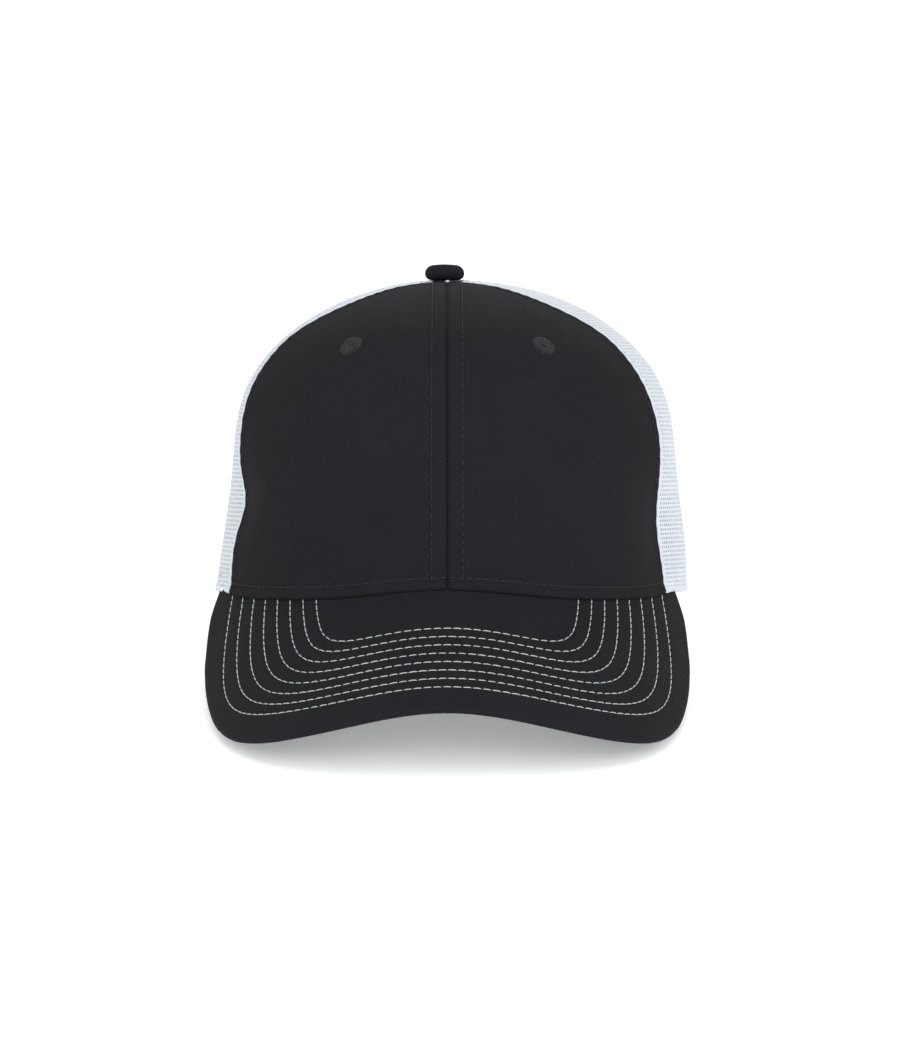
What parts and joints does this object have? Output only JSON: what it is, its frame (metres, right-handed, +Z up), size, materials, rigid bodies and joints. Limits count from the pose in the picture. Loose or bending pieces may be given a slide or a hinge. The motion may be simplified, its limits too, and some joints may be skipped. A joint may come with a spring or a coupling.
{
  "type": "trucker mesh cap",
  "caption": "Structured trucker cap with a dark twill front and curved visor, a white mesh crown, a cloth-covered top button and a snap strap at the back.",
  "frame": {"origin": "centre of the bounding box at its bottom: the point of the table under the middle of the resting cap", "axes": "+Z up as the cap rests on its visor corners and the foot of its back, -Y the way the visor points, +X the wearer's left. The crown leans back from +Z by about 15 degrees"},
  "size_m": [0.176, 0.262, 0.1416],
  "materials": {
    "black_twill": "matte",
    "black_thread": "satin",
    "buckram": "matte",
    "white_mesh": "satin",
    "seam_tape": "matte",
    "sweatband_cotton": "matte",
    "nonwoven": "matte",
    "label_satin": "satin",
    "binding_tape": "matte",
    "visor_plastic": "matte",
    "snap_plastic": "satin",
    "button_metal": "satin"
  },
  "bodies": {
    "cap": {"arch_binding": "binding_tape", "back_mesh_left": "white_mesh", "back_mesh_right": "white_mesh", "button_cover": "black_twill", "button_plate": "button_metal", "button_post": "button_metal", "button_shell": "button_metal", "button_washer": "button_metal", "care_label": "label_satin", "centre_tape": "seam_tape", "crown_topstitching": "black_thread", "eyelet_left": "black_thread", "eyelet_right": "black_thread", "front_buckram_left": "buckram", "front_buckram_right": "buckram", "front_panel_left": "black_twill", "front_panel_right": "black_twill", "front_side_tape_left": "seam_tape", "front_side_tape_right": "seam_tape", "hem_stitching": "black_thread", "hole_strap_tab": "snap_plastic", "peg_strap_tab": "snap_plastic", "side_back_tape_left": "seam_tape", "side_back_tape_right": "seam_tape", "side_mesh_left": "white_mesh", "side_mesh_right": "white_mesh", "sweatband": "sweatband_cotton", "sweatband_backing": "nonwoven", "visor_board": "visor_plastic", "visor_top_cover": "black_twill", "visor_under_cover": "black_twill"},
    "hole_strap_body": {"hole_strap": "snap_plastic"},
    "peg_strap_body": {"peg_strap": "snap_plastic"}
  },
  "joints": [
    {"name": "hole_strap_swing", "type": "hinge", "parent": "cap", "child": "hole_strap_body", "pos_m": [-0.0442, 0.10979, 0.01399], "axis": [0, 0.2539, 0.9672], "range_deg": [0, 90], "stiffness_Nm_per_rad": 0.02},
    {"name": "peg_strap_swing", "type": "hinge", "parent": "cap", "child": "peg_strap_body", "pos_m": [0.0442, 0.10979, 0.01399], "axis": [0, 0.2539, 0.9672], "range_deg": [0, 70], "stiffness_Nm_per_rad": 0.02}
  ]
}
